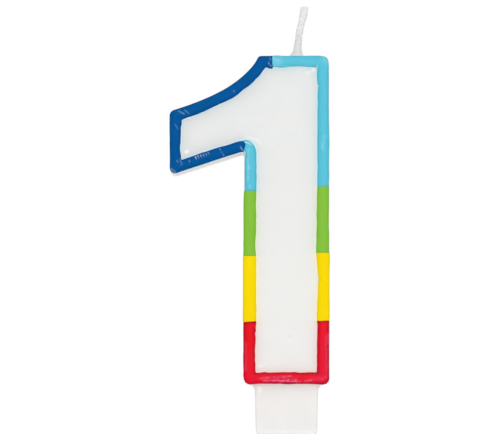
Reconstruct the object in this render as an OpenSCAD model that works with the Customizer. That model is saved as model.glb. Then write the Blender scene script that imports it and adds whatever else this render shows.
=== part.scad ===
// Number candle: a cast wax figure one with a raised rim painted in rainbow colours,
// a tab foot that is pushed into icing, and a cotton wick cast into the stem.
// The front faces -Y and +Z is up. The origin is the middle of the foot's flat end.

/* [Numeral] */
// Height of the numeral, from the underside of the stem to its top edge
numeral_h = 66.7; // [60:0.1:90]
// Width of the stem
stem_w = 17.2; // [15:0.1:22]
// How far the flag stands out to the left of the stem
flag_reach = 15.1; // [10:0.1:20]
// Height of the flag's upright end
flag_end_h = 13.1; // [10:0.1:16]
// Drop from the top edge to the upper corner of the flag's end
flag_end_drop = 11.3; // [9:0.1:14]
// Drop from the top edge to the corner where the flag's underside meets the stem
flag_root_drop = 19.5; // [17:0.1:24]
// Length of the straight top edge, measured from the stem's right side
top_w = 14.2; // [10:0.1:15]
// Bend point of the flag's hollow upper edge, left of the top edge's end
bend_left = 3.4; // [1:0.1:6]
// Bend point of the flag's hollow upper edge, below the top edge
bend_drop = 6.9; // [5:0.1:9]
// Rounding of the outer corners
corner_r = 1; // [0.4:0.1:1.8]
// Rounding of the corner between the flag's underside and the stem
root_r = 0.4; // [0.2:0.1:1.5]
// Rounding that is left in the corners of the panel
panel_corner_r = 0.3; // [0.1:0.1:0.6]

/* [Depth] */
// Thickness of the numeral behind the sunken panel, up to the flat back
slab_d = 8.6; // [6:0.1:14]
// Width of the painted rim
rim_w = 2.4; // [1.6:0.1:3.4]
// Height of the painted rim above the panel
rim_h = 0.9; // [0.6:0.1:1.6]
// Thickness of the coloured coats on the rim
coat_t = 0.2; // [0.1:0.05:0.4]
// Rounding of the edge round the flat back
back_edge_r = 0.6; // [0.2:0.1:1.5]

/* [Foot] */
// Length of the foot below the stem
foot_h = 10; // [6:0.1:18]
// Width of the foot under the stem
foot_w = 12.8; // [8:0.1:13]
// Depth of the foot under the stem
foot_d = 7; // [4:0.1:7.4]
// Taper of the foot, taken off each side at its end
foot_taper = 0.2; // [0:0.05:1]
// Rounding of the foot's upright edges
foot_corner_r = 0.9; // [0.4:0.1:1.4]
// Rounding of the edge round the foot's end
foot_end_r = 0.5; // [0.2:0.1:1]
// Fillet where the foot runs into the underside of the stem
foot_fillet_r = 1.3; // [0.4:0.1:1.6]

/* [Colour bands] */
// Length of the light blue stretch of the top edge, from the right side
light_blue_top_w = 11.5; // [7:0.1:12]
// Upper end of the red coat on the left, above the underside of the stem
red_left_h = 12.8; // [8:0.1:16]
// Upper end of the red coat on the right
red_right_h = 13; // [8:0.1:16]
// Height of the yellow coat on the left
yellow_left_h = 13.3; // [5:0.1:15]
// Height of the yellow coat on the right
yellow_right_h = 13.8; // [5:0.1:15]
// Height of the green coat on the left
green_left_h = 13.2; // [5:0.1:14]
// Height of the green coat on the right
green_right_h = 13.3; // [5:0.1:14]

/* [Wick] */
// Diameter of the wick inside the wax
wick_d = 1.3; // [0.8:0.1:2.2]
// Diameter of the open wick, which fluffs up outside the wax
wick_open_d = 1.6; // [1.2:0.1:2.6]
// Length of the open wick above its wax collar
wick_open_h = 9; // [4:0.5:20]
// How far the tip of the open wick leans to the right
wick_lean = 1.5; // [0:0.1:4]
// Distance of the wick to the right of the top edge's middle
wick_right = 0.8; // [-1:0.05:2]
// Wax left between the wick's lower end and the underside of the stem
wick_end_h = 4; // [1:0.5:20]
// Width of the wax collar that crept up round the wick
collar_w = 3.4; // [2.8:0.1:5]
// Height of the wax collar
collar_h = 1.6; // [0.5:0.1:2.4]

/* [Hidden] */

// Planes of the numeral: the wick and the foot stand in the middle of the slab
under_z = foot_h;
top_z = under_z + numeral_h;
back_y = slab_d / 2;
panel_y = -slab_d / 2;
stem_x = stem_w / 2;
flag_x = -stem_x - flag_reach;
root_z = top_z - flag_root_drop;
flag_end_z = top_z - flag_end_drop;

// Counts of segments in corners, in the hollow edge and across the rim
corner_steps = 4;
root_steps = 6;
hollow_steps = 12;
rim_steps = 10;
foot_steps = 5;
wick_sides = 12;
// Roundness of the rim's cross-section, where 1 is an ellipse and less is squarer
rim_round = 0.72;
// How far shapes that are cast in one reach into each other
weld = 0.8;
// How far a shape runs past a face that it crosses
overrun = 0.15;
// Sides of the round bore, wick and collar
round_sides = 48;

// Route of the open wick, as shares of its lean and of its length
wick_route = [[0, 0], [0.05, 0.12], [0.2, 0.3], [0.3, 0.45], [0.5, 0.58], [0.7, 0.7], [0.9, 0.86], [1, 1]];
// Swelling of the open wick at each point of its route
wick_swell = [0.94, 0.88, 0.94, 0.98, 0.9, 0.96, 1.1, 0.8];

// Outline of the numeral
top_end = [stem_x - top_w, top_z];
flag_tip = [flag_x, flag_end_z];
bend = [top_end[0] - bend_left, top_z - bend_drop];
wick_x = stem_x - top_w / 2 + wick_right;

function hollow(t) = (1 - t) * (1 - t) * top_end + 2 * t * (1 - t) * bend + t * t * flag_tip;

// Corners in turn, anticlockwise from the front: place, rounding and number of steps round it
corners = concat(
    [[[-stem_x, under_z], corner_r, corner_steps], [[stem_x, under_z], corner_r, corner_steps]],
    [[[stem_x, top_z], corner_r, corner_steps], [top_end, corner_r / 2, corner_steps]],
    [for (k = [1:hollow_steps - 1]) [hollow(k / hollow_steps), 0, 0]],
    [[flag_tip, corner_r, corner_steps]],
    [[[flag_x, flag_end_z - flag_end_h], corner_r, corner_steps]],
    [[[-stem_x, root_z], root_r, root_steps]]);

function unit(v) = v / norm(v);
function left_of(v) = [-v[1], v[0]];
function turned(v, a) = [v[0] * cos(a) - v[1] * sin(a), v[0] * sin(a) + v[1] * cos(a)];

// Points round one corner of the outline when the whole outline is drawn in by an inset
function corner_points(i, inset) =
    let (
        count = len(corners),
        place = corners[i][0],
        along_in = unit(place - corners[(i + count - 1) % count][0]),
        along_out = unit(corners[(i + 1) % count][0] - place),
        side_in = left_of(along_in),
        side_out = left_of(along_out),
        sharp = place + inset * (side_in + side_out) / (1 + side_in * side_out),
        bend_angle = atan2(along_in[0] * along_out[1] - along_in[1] * along_out[0], along_in * along_out),
        outward = bend_angle > 0,
        radius = outward ? max(corners[i][1] - inset, panel_corner_r) : corners[i][1] + inset,
        start = sharp - along_in * radius * tan(abs(bend_angle) / 2),
        centre = start + side_in * radius * (outward ? 1 : -1),
        steps = corners[i][2]
    )
    steps == 0 ? [sharp] : [for (k = [0:steps]) centre + turned(start - centre, bend_angle * k / steps)];

function outline(inset) = [for (i = [0:len(corners) - 1]) each corner_points(i, inset)];

// Round crest of the rim over the panel's plane: inset from the outline, and depth
function crest(inset, width, height) = [
    for (k = [0:rim_steps])
        let (a = 180 * k / rim_steps, c = cos(a), across = sign(c) * pow(abs(c), rim_round))
        [inset + width / 2 * (1 - across), panel_y - height * pow(max(sin(a), 0), rim_round)]];

coat_crest = crest(0, rim_w, rim_h);
wax_crest = crest(coat_t, rim_w - 2 * coat_t, rim_h - coat_t);

function reversed(list) = [for (k = [len(list) - 1:-1:0]) list[k]];

// Skin through a stack of rings with equal counts of points, looped or closed by flat ends
module skin(rings, looped) {
    count = len(rings);
    sides = len(rings[0]);
    last = looped ? count - 1 : count - 2;
    walls = [
        for (k = [0:last], i = [0:sides - 1])
            let (a = k * sides, b = (k + 1) % count * sides, j = (i + 1) % sides)
            each [[a + i, b + j, a + j], [a + i, b + i, b + j]]];
    ends = looped ? [] : [
        [for (i = [0:sides - 1]) i],
        [for (i = [sides - 1:-1:0]) (count - 1) * sides + i]];
    polyhedron([for (ring = rings) each ring], concat(walls, ends), convexity = 8);
}

// Band that follows the numeral's outline all the way round with one cross-section
module rim_band(section) {
    skin([for (p = section) [for (q = outline(p[0])) [q[0], p[1], q[1]]]], true);
}

// Plate of a front outline between two depths, the first of them further back
module plate(points, back, front) {
    translate([0, back, 0]) rotate([90, 0, 0]) linear_extrude(back - front) polygon(points);
}

// Point past the tip of a line, so that a shape crosses the face that it meets
function run_on(tip, from) = tip + unit(tip - from) * overrun;
function run_past(points) =
    let (last = len(points) - 1)
    [run_on(points[0], points[1]), for (k = [1:last - 1]) points[k], run_on(points[last], points[last - 1])];

// Crest of wax that stands on the panel's plane and carries the paint
module wax_rim() {
    rim_band(run_past(wax_crest));
}

// Cutter that rounds the edge round the flat back
module back_edge() {
    round_off = [
        for (k = [0:corner_steps])
            let (a = 90 * k / corner_steps)
            back_edge_r * [1 - cos(a), sin(a) - 1] + [0, back_y]];
    rim_band(concat([[-weld, back_y + weld]], run_past(round_off)));
}

// Level ring of the foot at one height, grown on its sides and on its front and back
function foot_ring(z, grow_x, grow_y) =
    let (
        taper = foot_taper * (1 - z / foot_h),
        half_w = foot_w / 2 - taper + grow_x,
        half_d = foot_d / 2 - taper + grow_y,
        round_r = max(foot_corner_r + min(grow_x, grow_y), foot_end_r)
    )
    [for (quarter = [0:3], k = [0:corner_steps])
        let (
            a = 90 * (quarter + k / corner_steps),
            side_x = quarter == 0 || quarter == 3 ? 1 : -1,
            side_y = quarter < 2 ? 1 : -1
        )
        [side_x * (half_w - round_r) + round_r * cos(a), side_y * (half_d - round_r) + round_r * sin(a), z]];

// Tab foot with a rounded end below and a fillet that runs into the stem above
module foot() {
    ledge_y = (slab_d - foot_d) / 2;
    fillet_y = min(foot_fillet_r, ledge_y / 2);
    end_steps = [
        for (k = [0:foot_steps])
            let (a = 90 * k / foot_steps, grow = foot_end_r * (sin(a) - 1))
            [foot_end_r * (1 - cos(a)), grow, grow]];
    fillet_steps = [
        for (k = [0:foot_steps])
            let (a = 90 * k / foot_steps, grow = 1 - cos(a))
            [foot_h - foot_fillet_r * (1 - sin(a)), foot_fillet_r * grow, fillet_y * grow]];
    fillet_open = [for (k = [0:foot_steps - 1]) fillet_steps[k]];
    inside = run_on(fillet_steps[foot_steps], fillet_steps[foot_steps - 1]);
    steps = concat(end_steps, fillet_open, [inside, inside + [weld, 0, 0]]);
    skin([for (s = steps) foot_ring(s[0], s[1], s[2])], false);
}

// Wax that crept up the wick when the candle was cast
module collar() {
    rise = collar_w / 2 - wick_open_d / 2;
    hollow_side = [
        for (k = [0:corner_steps])
            let (a = 90 * k / corner_steps)
            [collar_w / 2 - rise * sin(a), collar_h * (1 - cos(a))]];
    brim = run_on(hollow_side[0], hollow_side[1]);
    side = concat([brim], [for (k = [1:corner_steps]) hollow_side[k]]);
    translate([wick_x, 0, top_z]) rotate_extrude($fn = round_sides)
        polygon(concat([[0, -weld], [brim[0], -weld]], side, [[0, collar_h]]));
}

// Straight stretch of the wick inside the wax, also the bore that it fills
module wick_core(extra = 0) {
    low = under_z + wick_end_h;
    translate([wick_x, 0, low])
        cylinder(d = wick_d, h = top_z + collar_h + extra - low, $fn = round_sides);
}

module wax_body() {
    color([0.93, 0.93, 0.92]) difference() {
        union() {
            plate(outline(0), back_y, panel_y);
            wax_rim();
            foot();
            collar();
        }
        back_edge();
        wick_core(overrun);
    }
}

module wick() {
    base = [wick_x, 0, top_z + collar_h];
    rings = [
        for (k = [0:len(wick_route) - 1])
            let (
                middle = base + [wick_lean * wick_route[k][0], 0, wick_open_h * wick_route[k][1]],
                r = wick_open_d / 2 * wick_swell[k]
            )
            [for (i = [0:wick_sides - 1])
                let (a = 360 * i / wick_sides)
                middle + r * [cos(a), sin(a), 0]]];
    color([0.88, 0.88, 0.86]) {
        wick_core();
        skin(rings, false);
    }
}

// Zones that cut the rim's coat into colours, as outlines from the front that reach past every edge
far = 3 * (numeral_h + foot_h);
split_x = stem_x - light_blue_top_w;
root_x = -stem_x - root_r;
root_top_z = root_z + rim_w + weld;
top_under_z = top_z - rim_w - weld;
red_left = under_z + red_left_h;
red_right = under_z + red_right_h;
yellow_left = red_left + yellow_left_h;
yellow_right = red_right + yellow_right_h;
green_left = yellow_left + green_left_h;
green_right = yellow_right + green_right_h;

dark_blue_zone = [
    [-far, 0], [root_x, 0], [root_x, root_top_z], [split_x, top_under_z], [split_x, far], [-far, far]];
light_blue_right_zone = [
    [0, green_right], [far, green_right], [far, far],
    [split_x, far], [split_x, top_under_z], [0, top_under_z]];
red_zone = [[root_x, 0], [far, 0], [far, red_right], [0, red_right], [0, red_left], [root_x, red_left]];

function left_zone(low, high) = [[root_x, low], [0, low], [0, high], [root_x, high]];
function right_zone(low, high) = [[0, low], [far, low], [far, high], [0, high]];

// Stretch of the rim's coloured coat that lies inside one zone
module coat(zone) {
    intersection() {
        rim_band(concat(coat_crest, reversed(wax_crest)));
        plate(zone, 0, panel_y - 2 * rim_h);
    }
}

module dark_blue_coat() { color([0.02, 0.35, 0.61]) coat(dark_blue_zone); }
module light_blue_coat_right() { color([0.4, 0.77, 0.85]) coat(light_blue_right_zone); }
module light_blue_coat_left() { color([0.4, 0.77, 0.85]) coat(left_zone(green_left, root_top_z)); }
module green_coat_left() { color([0.53, 0.75, 0.25]) coat(left_zone(yellow_left, green_left)); }
module green_coat_right() { color([0.53, 0.75, 0.25]) coat(right_zone(yellow_right, green_right)); }
module yellow_coat_left() { color([0.99, 0.85, 0.02]) coat(left_zone(red_left, yellow_left)); }
module yellow_coat_right() { color([0.99, 0.85, 0.02]) coat(right_zone(red_right, yellow_right)); }
module red_coat() { color([0.9, 0.11, 0.2]) coat(red_zone); }

wax_body();
wick();
dark_blue_coat();
light_blue_coat_right();
light_blue_coat_left();
green_coat_left();
green_coat_right();
yellow_coat_left();
yellow_coat_right();
red_coat();
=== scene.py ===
import math

import bpy
import numpy as np
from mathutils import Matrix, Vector
from mathutils.geometry import delaunay_2d_cdt
from mathutils.kdtree import KDTree


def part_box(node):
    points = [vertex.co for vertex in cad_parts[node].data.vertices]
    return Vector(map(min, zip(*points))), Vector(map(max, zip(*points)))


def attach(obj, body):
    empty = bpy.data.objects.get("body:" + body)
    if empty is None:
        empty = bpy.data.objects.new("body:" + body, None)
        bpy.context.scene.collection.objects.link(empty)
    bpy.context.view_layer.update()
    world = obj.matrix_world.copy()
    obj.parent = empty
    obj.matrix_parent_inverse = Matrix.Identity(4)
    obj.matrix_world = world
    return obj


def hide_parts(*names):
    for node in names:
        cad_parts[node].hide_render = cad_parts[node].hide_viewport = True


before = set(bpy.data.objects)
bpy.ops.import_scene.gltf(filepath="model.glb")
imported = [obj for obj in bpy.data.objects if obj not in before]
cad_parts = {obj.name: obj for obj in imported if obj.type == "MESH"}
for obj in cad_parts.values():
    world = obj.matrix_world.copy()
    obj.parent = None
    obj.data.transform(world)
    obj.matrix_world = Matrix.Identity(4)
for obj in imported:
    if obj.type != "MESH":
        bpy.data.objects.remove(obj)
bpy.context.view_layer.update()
mm = 0.001  # shapes are worked out in millimetres, meshes are stored in metres
quarter = math.pi / 2


def boxOf(node):
    low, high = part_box(node)
    return np.array(low) / mm, np.array(high) / mm


waxLow, waxHigh = boxOf("wax_body")
wickLow, wickHigh = boxOf("wick")
redLow, redHigh = boxOf("red_coat")
greenLow, greenHigh = boxOf("green_coat_right")
blueLow, blueHigh = boxOf("light_blue_coat_right")
stemX, flagX = redHigh[0], waxLow[0]
underZ, topZ = redLow[2], blueHigh[2]
backY, panelY = waxHigh[1], -waxHigh[1]
rimW, rimH = (greenHigh - greenLow)[:2]

# the figure one, seen from the front: x to the right, z up
numeral = {
    "topW": 14.2,
    "flagEndDrop": 11.3,
    "flagEndH": 13.1,
    "rootDrop": 19.5,
    "bendLeft": 3.4,
    "bendDrop": 6.9,
    "cornerR": 1.15,
    "topEndR": 0.8,
    "rootR": 0.4,
    "panelCornerR": 0.3,
    "coatT": 0.2,
    "rimRound": 0.72,
    "arcSteps": 10,
    "cornerReach": 6.0,  # stations slide along an edge this near to a corner, and on this share of the hollow
    "hollowReach": 0.3,
}
coatT, arcSteps = numeral["coatT"], numeral["arcSteps"]
topEnd = np.array([stemX - numeral["topW"], topZ])
bend = topEnd - [numeral["bendLeft"], numeral["bendDrop"]]
flagTip = np.array([flagX, topZ - numeral["flagEndDrop"]])
flagHeel = flagTip - [0, numeral["flagEndH"]]
root = np.array([-stemX, topZ - numeral["rootDrop"]])
heelLow, toeLow, toeHigh = np.array([(-stemX, underZ), (stemX, underZ), (stemX, topZ)])
places = [heelLow, toeLow, toeHigh, topEnd, flagTip, flagHeel, root]
rightEdge, topEdge, hollowEdge, rootCorner = 1, 2, 3, 6
slope = root - flagHeel
undersideAngle = math.atan2(slope[1], slope[0]) + 3 * quarter  # way out of the flag's underside
print("sizes read from the frame")


def columns(*parts):
    return np.stack(parts, axis=-1)


def hollowAt(t):
    t = np.asarray(t, float)[..., None]
    return (1 - t) ** 2 * topEnd + 2 * t * (1 - t) * bend + t**2 * flagTip


def hollowSide(t):
    t = np.asarray(t, float)[..., None]
    way = (1 - t) * (bend - topEnd) + t * (flagTip - bend)
    way = way / np.linalg.norm(way, axis=-1, keepdims=True)
    return columns(-way[..., 1], way[..., 0])


# where the hollow edge, drawn in by a depth, comes down to a goal on one axis
def solveHollow(depth, axis, goal, low, high):
    for _ in range(40):
        middle = (low + high) / 2
        value = (hollowAt(middle) + depth * hollowSide(middle))[axis]
        low, high = (middle, high) if value > goal else (low, middle)
    return low


def wayOf(angle):
    return np.array([math.cos(angle), math.sin(angle)])


def roundArc(centre, radius, angleIn, angleOut):
    angles = np.linspace(angleIn, angleOut, arcSteps + 1)
    return centre + radius * columns(np.cos(angles), np.sin(angles))


def roundCorner(place, angleIn, angleOut, inset):
    radius = max(numeral["cornerR"] - inset, numeral["panelCornerR"])
    sideIn, sideOut = -wayOf(angleIn), -wayOf(angleOut)
    centre = place + (inset + radius) * (sideIn + sideOut) / (1 + sideIn @ sideOut)
    return roundArc(centre, radius, angleIn, angleOut)


# rounded corners of the outline drawn in by an inset, and where the hollow edge starts and ends
def outlineArcs(inset):
    endR, tipR = (max(numeral[key] - inset, numeral["panelCornerR"]) for key in ("topEndR", "cornerR"))
    tTop = solveHollow(inset + endR, 1, topZ - inset - endR, 0.0, 0.5)
    tTip = solveHollow(inset + tipR, 0, flagX + inset + tipR, 0.5, 1.0)
    topSide, tipSide = hollowSide(tTop), hollowSide(tTip)
    topAngle, tipAngle = (math.atan2(-side[1], -side[0]) for side in (topSide, tipSide))
    sideIn, sideOut = -wayOf(undersideAngle), wayOf(0)
    rootCentre = root - numeral["rootR"] * (sideIn + sideOut) / (1 + sideIn @ sideOut)
    arcs = [
        roundCorner(heelLow, 2 * quarter, 3 * quarter, inset),
        roundCorner(toeLow, -quarter, 0, inset),
        roundCorner(toeHigh, 0, quarter, inset),
        roundArc(hollowAt(tTop) + (inset + endR) * topSide, endR, quarter, topAngle),
        roundArc(hollowAt(tTip) + (inset + tipR) * tipSide, tipR, tipAngle, 2 * quarter),
        roundCorner(flagHeel, 2 * quarter, undersideAngle, inset),
        roundArc(rootCentre, numeral["rootR"] + inset, undersideAngle - 2 * quarter, 0),
    ]
    return arcs, tTop, tTip


midArcs, midTop, midTip = outlineArcs(rimW / 2)


def fade(share):
    return np.clip(1 - share, 0, 1) ** 1.25


def edgeCount(k, step):
    return round(np.linalg.norm(places[(k + 1) % len(places)] - places[k]) / step)


# the outline drawn in by an inset: the same stations at every inset, square to the edge away from corners
def outlineAt(inset, step):
    arcs, tTop, tTip = outlineArcs(inset)
    points = []
    for k, arc in enumerate(arcs):
        following = (k + 1) % len(arcs)
        share = np.linspace(0, 1, edgeCount(k, step) + 1)[1:-1]
        points.append(arc)
        if k == hollowEdge:
            early, late = (fade(s / numeral["hollowReach"]) for s in (share, 1 - share))
            t = midTop + (midTip - midTop) * share + (tTop - midTop) * early + (tTip - midTip) * late
            points.append(hollowAt(t) + inset * hollowSide(t))
            continue
        first, last = midArcs[k][-1], midArcs[following][0]
        length = np.linalg.norm(last - first)
        way = (last - first) / length
        reach = min(numeral["cornerReach"], length / 2)
        early, late = (arc[-1] - first) @ way, (arcs[following][0] - last) @ way
        run = length * share
        run = run + early * fade(run / reach) + late * fade((length - run) / reach)
        points.append(arc[-1] + (run - early)[:, None] * way)
    return np.concatenate(points)


def ease(t):
    return t * t * (3 - 2 * t)


def smoothStep(x, low, high):
    return ease(np.clip((x - low) / (high - low), 0, 1))


# smooth noise from -1 to 1 on one or two axes, the same at each run
def waver(x, seed):
    table = np.random.default_rng(seed).uniform(-1, 1, 256)
    cell = np.floor(x).astype(int)
    part = ease(x - cell)
    return table[cell % 256] * (1 - part) + table[(cell + 1) % 256] * part


def waver2(x, y, seed):
    table = np.random.default_rng(seed).uniform(-1, 1, (64, 64))
    cellX, cellY = np.floor(x).astype(int), np.floor(y).astype(int)
    partX, partY = ease(x - cellX), ease(y - cellY)
    left, right = cellX % 64, (cellX + 1) % 64
    rows = (cellY % 64, (cellY + 1) % 64)
    low, high = (table[left, row] * (1 - partX) + table[right, row] * partX for row in rows)
    return low * (1 - partY) + high * partY


# soft stroke between two places over the stem's underside, 1 on its line and 0 away from it
def strokeMask(x, z, x0, z0, x1, z1, halfW):
    wayX, wayZ = x1 - x0, z1 - z0
    fromX, fromZ = x - x0, z - underZ - z0
    share = np.clip((fromX * wayX + fromZ * wayZ) / max(wayX**2 + wayZ**2, 1e-9), 0, 1)
    return np.exp(-((fromX - share * wayX) ** 2 + (fromZ - share * wayZ) ** 2) / halfW**2)


# numbers or vectors on the points of a mesh, which its material reads
def setValues(mesh, values):
    for key, numbers in values.items():
        numbers = np.asarray(numbers, np.float32)
        kind, field = ("FLOAT", "value") if numbers.ndim == 1 else ("FLOAT_VECTOR", "vector")
        mesh.attributes.new(key, kind, "POINT").data.foreach_set(field, numbers.ravel())


def makePiece(name, points, faces, values=None):
    mesh = bpy.data.meshes.new(name)
    mesh.from_pydata((np.asarray(points, float) * mm).tolist(), [], faces)
    setValues(mesh, values or {})
    mesh.validate()
    piece = bpy.data.objects.new(name, mesh)
    bpy.context.scene.collection.objects.link(piece)
    return piece


def dress(piece, sharpDegrees, material, node):
    piece.data.shade_smooth()
    piece.data.set_sharp_from_angle(angle=math.radians(sharpDegrees))
    piece.data.materials.append(material)
    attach(piece, "root")
    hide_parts(node)


# quads between rings of equal counts, each ring closed on itself
def ringFaces(ringCount, sides, first=0):
    faces = []
    for a in range(first, first + (ringCount - 1) * sides, sides):
        b = a + sides
        faces += [(a + i, a + (i + 1) % sides, b + (i + 1) % sides, b + i) for i in range(sides)]
    return faces


# closed tube over rings, with one face on each end
def addTube(points, faces, rings):
    count, sides = rings.shape[:2]
    first = len(points)
    points.extend(rings.reshape(-1, 3))
    faces.extend(ringFaces(count, sides, first))
    faces.append(tuple(range(first + sides - 1, first - 1, -1)))
    faces.append(tuple(range(len(points) - sides, len(points))))


# closed solid over rings, with a fan of faces on each end
def ringSolid(name, rings):
    sides = len(rings[0])
    points = list(np.concatenate(rings))
    faces = ringFaces(len(rings), sides)
    for first, ring, flip in ((0, rings[0], True), (len(points) - sides, rings[-1], False)):
        middle = len(points)
        points.append(ring.mean(axis=0))
        fan = [(first + i, first + (i + 1) % sides, middle) for i in range(sides)]
        faces += [face[::-1] if flip else face for face in fan]
    return makePiece(name, points, faces)


# a node's inputs, by name or in order: another node's output is linked, anything else is set
def addNode(tree, kind, sources=(), **settings):
    node = tree.nodes.new(kind if kind.startswith("NodeGroup") else "ShaderNode" + kind)
    node.location = (220 * len(tree.nodes), 0)
    for key, value in settings.items():
        setattr(node, key, value)
    for label, source in sources.items() if isinstance(sources, dict) else enumerate(sources):
        socket = node.inputs[label]
        if isinstance(source, bpy.types.NodeSocket):
            tree.links.new(source, socket)
        else:
            socket.default_value = (*source, 1) if socket.type == "RGBA" else source
    return node.outputs


def mathNode(tree, operation, *sources):
    return addNode(tree, "Math", sources, operation=operation)[0]


def mixColour(tree, factor, first, second, **settings):
    return addNode(tree, "Mix", {0: factor, 6: first, 7: second}, data_type="RGBA", **settings)[2]


def mixShader(tree, *sources):
    return addNode(tree, "MixShader", sources)[0]


def mapValue(tree, *sources):
    return addNode(tree, "MapRange", sources)[0]


def readValue(tree, name, output="Fac"):
    return addNode(tree, "Attribute", attribute_name=name)[output]


def bumpFrom(tree, height, strength, distance):
    return addNode(tree, "Bump", {"Height": height, "Strength": strength, "Distance": distance * mm})[0]


# a group of which the first input is a vector, the others numbers
def newGroup(name, inputs, outputs):
    tree = bpy.data.node_groups.new(name, "ShaderNodeTree")
    kinds = ["NodeSocketVector"] + ["NodeSocketFloat"] * (len(inputs) - 1)
    for label, kind in zip(inputs, kinds):
        tree.interface.new_socket(label, in_out="INPUT", socket_type=kind)
    for label in outputs:
        tree.interface.new_socket(label, in_out="OUTPUT", socket_type="NodeSocketFloat")
    return tree, addNode(tree, "NodeGroupInput")


noiseSpread = (0.3, 0.7, 0.0, 1.0)  # part of a noise that is stretched to 0 and 1


# streaks that a brush leaves: long along the stroke, fine across it
def makeBrushGroup():
    tree, given = newGroup("brushStrokes", ["Stroke", "Fineness", "Seed"], ["Streak", "Height"])
    split = addNode(tree, "SeparateXYZ", [given["Stroke"]])
    longWay = mathNode(tree, "MULTIPLY", split["X"], 0.35)
    fineWay = mathNode(tree, "MULTIPLY", split["Y"], given["Fineness"])
    place = addNode(tree, "CombineXYZ", (longWay, fineWay, given["Seed"]))[0]
    sources = {"Vector": place, "Scale": 1.0, "Detail": 3.0, "Roughness": 0.6}
    noise = addNode(tree, "TexNoise", sources)[0]
    addNode(tree, "NodeGroupOutput", {"Streak": mapValue(tree, noise, *noiseSpread), "Height": noise})
    return tree


# clouds and fine grain of a cast or fibrous surface, sized in metres
def makeGrainGroup():
    tree, given = newGroup("softGrain", ["Position", "Cloud Size", "Grain Size"], ["Cloud", "Grain"])
    results = {}
    for label, detail in (("Cloud", 2.0), ("Grain", 4.0)):
        scale = mathNode(tree, "DIVIDE", 1.0, given[label + " Size"])
        noise = addNode(tree, "TexNoise", {"Vector": given["Position"], "Scale": scale, "Detail": detail})
        results[label] = mapValue(tree, noise[0], *noiseSpread)
    addNode(tree, "NodeGroupOutput", results)
    return tree


brushGroup, grainGroup = makeBrushGroup(), makeGrainGroup()


def freshTree(owner):
    owner.use_nodes = True
    owner.node_tree.nodes.clear()
    return owner.node_tree


def objectPlace(tree):
    return addNode(tree, "TexCoord")["Object"]


def addGrain(tree, cloudSize, grainSize):
    sources = {"Position": objectPlace(tree), "Cloud Size": cloudSize * mm, "Grain Size": grainSize * mm}
    return addNode(tree, "Group", sources, node_tree=grainGroup)


def finishMaterial(tree, sources):
    shader = addNode(tree, "BsdfPrincipled", sources)
    addNode(tree, "OutputMaterial", {"Surface": shader[0]})


castWax = {
    # painted shade: the wax is made lighter and warmer low down and darker towards the top
    "low": (0.866, 0.856, 0.842),
    "high": (0.735, 0.75, 0.742),
    "cloud": (0.812, 0.811, 0.797),
    "veil": (0.72, 0.725, 0.71),  # thin wax over the wick
    "veilFrom": (0.1, 1.2),  # heights over the numeral
    # painted light: the pale colour of painted highlights and of faces turned down that are made bright
    "gleam": (0.99, 0.99, 0.98),
    "lipW": 0.22,  # painted highlight on the wax along the paint
    "stainReach": 0.28,  # how far the painted bounce light from the paint and its painted shade reach into the wax beside it
    "shadeReach": 1.6,
    # painted highlights: two ends over the stem's underside, half width and strength
    "glints": [
        (-5.45, -0.7, -5.4, -1.4, 0.24, 1.0),
        (-8.4, 50.1, -7.0, 49.9, 0.16, 0.45),
        (-7.0, 49.9, -6.1, 49.45, 0.18, 0.6),
        (-6.1, 49.45, -5.65, 48.75, 0.18, 0.5),
    ],
    "plainSide": 0.85,  # share of the painted bounce light and shade that the sides and the back go without
    "sideFrom": (0.2, 0.8),  # depths behind the panel
    "underside": 0.55,  # painted light: how much paler the wax is made on faces turned down under the flag and at the foot's end
    "footEnd": (0.9, 0.2),
    "facingDown": -0.6,
    "scatter": 0.2,
    "scatterSize": 1.6,
    "scatterTint": (1.0, 0.95, 0.9),
    "roughness": (0.38, 0.5),
    "specular": 0.35,
    "grain": (4.5, 0.5),  # sizes of its clouds and grain
    "clouding": 0.5,
    "bump": (0.25, 0.02),  # strength and height
}


def makeWaxMaterial():
    material = bpy.data.materials.new("castWax")
    tree = freshTree(material)
    grain = addGrain(tree, *castWax["grain"])
    # painted shade: darker towards the top
    high = addNode(tree, "SeparateXYZ", [objectPlace(tree)])["Z"]
    height = mapValue(tree, high, 0.0, topZ * mm, 0.0, 1.0)
    body = mixColour(tree, height, castWax["low"], castWax["high"])
    cloudy = mapValue(tree, grain["Cloud"], 0.0, 1.0, 0.0, castWax["clouding"])
    clouds = mixColour(tree, cloudy, body, castWax["cloud"])
    veiled = mixColour(tree, readValue(tree, "veil"), clouds, castWax["veil"])
    # painted light: highlights along the paint, on lumps and glints, and pale faces turned down
    pale = mixColour(tree, readValue(tree, "gleam"), veiled, castWax["gleam"])
    # painted bounce light and painted shade on the wax beside the paint
    stain = readValue(tree, "stain", "Vector")
    finishMaterial(tree, {
        "Base Color": mixColour(tree, 1.0, pale, stain, blend_type="SUBTRACT", clamp_result=True),
        "Roughness": mapValue(tree, grain["Cloud"], 0.0, 1.0, *castWax["roughness"]),
        "Normal": bumpFrom(tree, grain["Grain"], *castWax["bump"]),
        "Subsurface Weight": castWax["scatter"],
        "Subsurface Radius": castWax["scatterTint"],
        "Subsurface Scale": castWax["scatterSize"] * mm,
        "Specular IOR Level": castWax["specular"],
    })
    return material
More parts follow.
